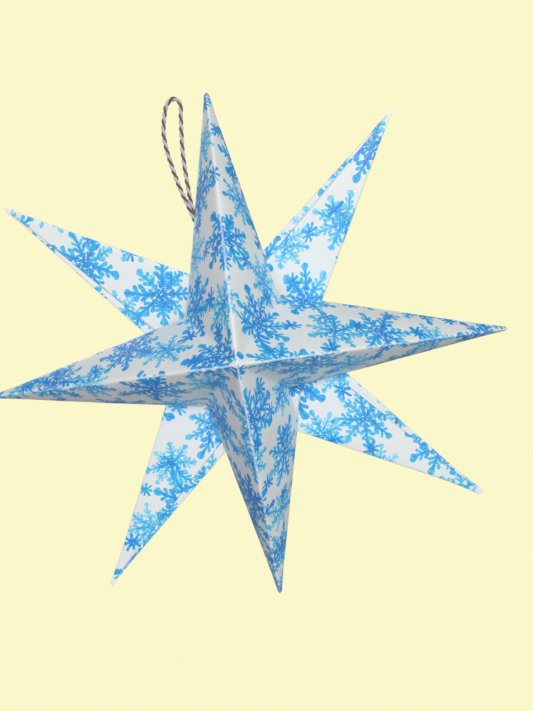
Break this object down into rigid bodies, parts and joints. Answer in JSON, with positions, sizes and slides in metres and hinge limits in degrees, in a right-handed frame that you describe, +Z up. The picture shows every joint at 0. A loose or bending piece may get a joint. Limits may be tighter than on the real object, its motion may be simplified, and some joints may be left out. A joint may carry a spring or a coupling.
{
  "type": "paper snowflake star",
  "caption": "Hanging folded-card star: a ridged four-pointed half glued back to back with another turned half way between its points, on a twine loop.",
  "frame": {"origin": "on the inside of the twine loop's top, where a hook carries the star", "axes": "+X to the star's right as seen from the front, +Y from the front half to the back half, +Z straight up along the hanging twine"},
  "size_m": [0.1843, 0.0818, 0.1847],
  "materials": {
    "printed_card": "satin",
    "glue": "satin",
    "twine": "matte"
  },
  "bodies": {
    "loop": {"twine_loop": "twine"},
    "bend": {"twine_bend": "twine"},
    "star": {"back_lower_left_flap_glue": "glue", "back_lower_right_flap_glue": "glue", "back_star": "printed_card", "back_upper_left_flap_glue": "glue", "back_upper_right_flap_glue": "glue", "front_down_flap_glue": "glue", "front_left_flap_glue": "glue", "front_right_flap_glue": "glue", "front_star": "printed_card", "front_up_flap_glue": "glue", "join_glue_down_to_lower_left": "glue", "join_glue_down_to_lower_right": "glue", "join_glue_left_to_lower_left": "glue", "join_glue_left_to_upper_left": "glue", "join_glue_right_to_lower_right": "glue", "join_glue_right_to_upper_right": "glue", "join_glue_up_to_upper_left": "glue", "join_glue_up_to_upper_right": "glue", "twine_knot": "twine"}
  },
  "joints": [
    {"name": "loop_swing", "type": "hinge", "parent": "loop", "child": "bend", "pos_m": [0.0023, -0.008, -0.0648], "axis": [0, 1, 0], "range_deg": [-30, 30]},
    {"name": "loop_fold", "type": "hinge", "parent": "bend", "child": "star", "pos_m": [0.0023, -0.008, -0.0648], "axis": [1, 0, 0], "range_deg": [0, 75]}
  ]
}
